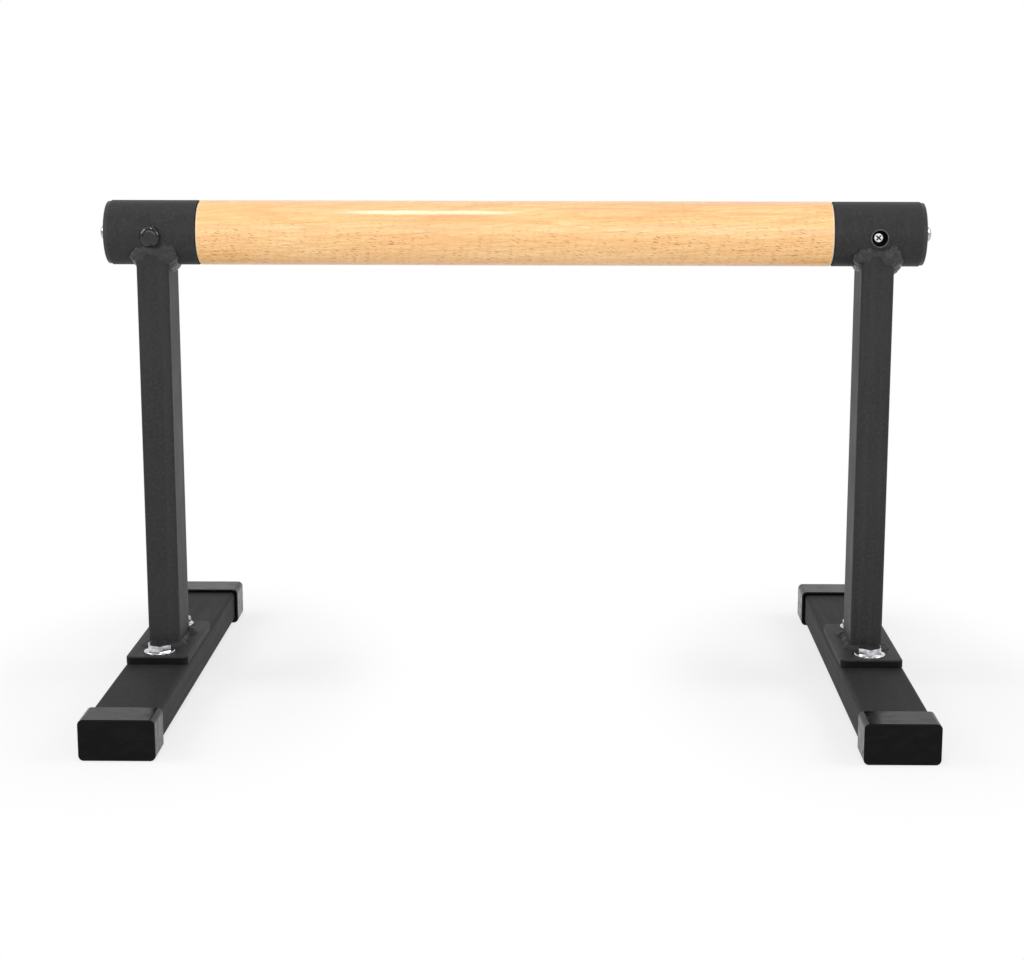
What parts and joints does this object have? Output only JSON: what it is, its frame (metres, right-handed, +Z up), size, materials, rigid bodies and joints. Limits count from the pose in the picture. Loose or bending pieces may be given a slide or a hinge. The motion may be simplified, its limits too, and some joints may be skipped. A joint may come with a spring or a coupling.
{
  "type": "parallette bar",
  "caption": "Low parallette bar: a round wooden grip in steel sleeves, on welded posts bolted to flat steel feet with rubber end caps.",
  "frame": {"origin": "on the floor under the middle of the bar: the bottom centre of the object's box", "axes": "+X along the grip bar, to the right in the picture; +Y away from the viewer, along the feet; +Z up"},
  "size_m": [0.5172, 0.336, 0.309],
  "materials": {
    "beech": "clear satin lacquer over straight-grained beech with small dark flecks",
    "powder_coat": "matte black powder coat with a fine texture, over steel",
    "cap_plastic": "black moulded plastic, satin",
    "foot_rubber": "black moulded rubber, matte",
    "black_fastener": "glossy black lacquer over steel",
    "zinc": "bright zinc plating",
    "screw_steel": "bright plated steel"
  },
  "bodies": {
    "root": {"grip_bar": "beech", "left_sleeve": "powder_coat", "left_post": "powder_coat", "left_post_top_weld": "powder_coat", "left_base_plate": "powder_coat", "left_post_base_weld": "powder_coat", "left_foot_tube": "powder_coat", "left_end_cap": "cap_plastic", "left_end_cap_screw": "screw_steel", "left_barrel_nut": "black_fastener", "left_screw_ferrule": "black_fastener", "left_cross_screw": "zinc", "left_front_foot_cap": "foot_rubber", "left_front_base_bolt": "zinc", "left_front_weld_nut": "zinc", "left_rear_foot_cap": "foot_rubber", "left_rear_base_bolt": "zinc", "left_rear_weld_nut": "zinc", "right_sleeve": "powder_coat", "right_post": "powder_coat", "right_post_top_weld": "powder_coat", "right_base_plate": "powder_coat", "right_post_base_weld": "powder_coat", "right_foot_tube": "powder_coat", "right_end_cap": "cap_plastic", "right_end_cap_screw": "screw_steel", "right_barrel_nut": "black_fastener", "right_screw_ferrule": "black_fastener", "right_cross_screw": "zinc", "right_front_foot_cap": "foot_rubber", "right_front_base_bolt": "zinc", "right_front_weld_nut": "zinc", "right_rear_foot_cap": "foot_rubber", "right_rear_base_bolt": "zinc", "right_rear_weld_nut": "zinc"}
  },
  "joints": []
}
